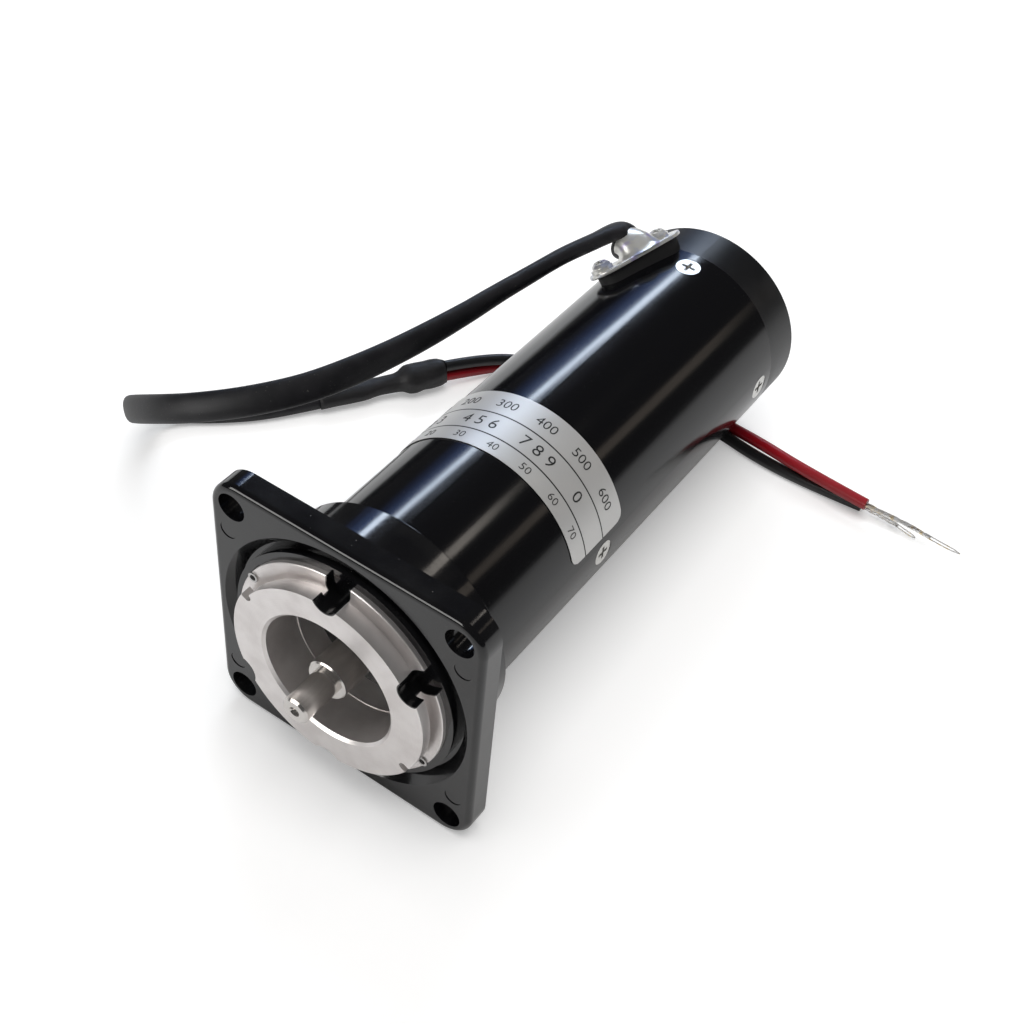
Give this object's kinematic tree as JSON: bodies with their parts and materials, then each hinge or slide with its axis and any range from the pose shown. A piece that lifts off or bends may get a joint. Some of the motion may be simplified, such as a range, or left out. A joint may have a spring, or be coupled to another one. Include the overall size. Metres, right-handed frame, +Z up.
{
  "type": "electric motor",
  "caption": "Brushed DC motor: square cast flange, turned bayonet ring, stepped shaft, lacquered steel tube, end cap and a flat cable under a clamp, spliced to bare leads.",
  "frame": {"origin": "on the surface the motor lies on, under the middle of its length from shaft tip to end cap", "axes": "+Y along the motor from the shaft towards the end cap, +Z up, +X to the right seen from the shaft's side; the motor's axis leans 2.3 degrees nose-up in this frame"},
  "size_m": [0.2386, 0.2054, 0.0842],
  "materials": {
    "mounting_flange": "gloss black paint on cast aluminium",
    "adapter_ring": "satin turned",
    "ring_pins": "bright",
    "ring_screws": "dark",
    "motor_tube": "high-gloss black lacquer on steel",
    "end_cap": "satin black",
    "field_magnets": "matte ferrite",
    "magnet_spacers": "moulded",
    "front_bearing_outer_race": "ground",
    "front_bearing_inner_race": "ground",
    "front_bearing_balls": "polished",
    "rear_bearing_outer_race": "ground",
    "rear_bearing_inner_race": "ground",
    "rear_bearing_balls": "polished",
    "bearing_clip": "spring steel",
    "preload_washer": "spring steel",
    "output_shaft": "ground",
    "armature_core": "stacked sheet",
    "armature_windings": "enamelled copper",
    "commutator": "turned copper",
    "brush_plate": "phenolic sheet",
    "brush_boxes": "pressed",
    "carbon_brushes": "carbon",
    "brush_springs": "spring steel",
    "internal_wires": "insulated wire",
    "clamp_pad": "matte",
    "cable_hood": "zinc plated",
    "clamp_screws": "zinc plated",
    "cable_tail": "cable jacket",
    "rating_label": "satin silver film",
    "splice_sleeve": "heat-shrink tube",
    "rear_tube_screws": "zinc plated",
    "front_tube_screws": "zinc plated",
    "power_cable": "cable jacket",
    "red_lead": "wire insulation",
    "black_lead": "wire insulation",
    "red_strands": "tinned copper",
    "black_strands": "tinned copper"
  },
  "bodies": {
    "stator": {"mounting_flange": "mounting_flange", "adapter_ring": "adapter_ring", "ring_pins": "ring_pins", "ring_screws": "ring_screws", "motor_tube": "motor_tube", "end_cap": "end_cap", "field_magnets": "field_magnets", "magnet_spacers": "magnet_spacers", "front_bearing_outer_race": "front_bearing_outer_race", "front_bearing_balls": "front_bearing_balls", "rear_bearing_outer_race": "rear_bearing_outer_race", "rear_bearing_balls": "rear_bearing_balls", "bearing_clip": "bearing_clip", "preload_washer": "preload_washer", "brush_plate": "brush_plate", "brush_boxes": "brush_boxes", "carbon_brushes": "carbon_brushes", "brush_springs": "brush_springs", "internal_wires": "internal_wires", "clamp_pad": "clamp_pad", "cable_hood": "cable_hood", "clamp_screws": "clamp_screws", "cable_tail": "cable_tail", "rating_label": "rating_label", "splice_sleeve": "splice_sleeve", "rear_tube_screws": "rear_tube_screws", "front_tube_screws": "front_tube_screws", "power_cable": "power_cable", "red_lead": "red_lead", "black_lead": "black_lead", "red_strands": "red_strands", "black_strands": "black_strands"},
    "rotor": {"output_shaft": "output_shaft", "front_bearing_inner_race": "front_bearing_inner_race", "rear_bearing_inner_race": "rear_bearing_inner_race", "armature_core": "armature_core", "armature_windings": "armature_windings", "commutator": "commutator"}
  },
  "joints": [
    {"name": "rotor_spin", "type": "hinge", "parent": "stator", "child": "rotor", "pos_m": [0, -0.08407, 0.04226], "axis": [0, -0.9992, 0.0405], "continuous": true}
  ]
}
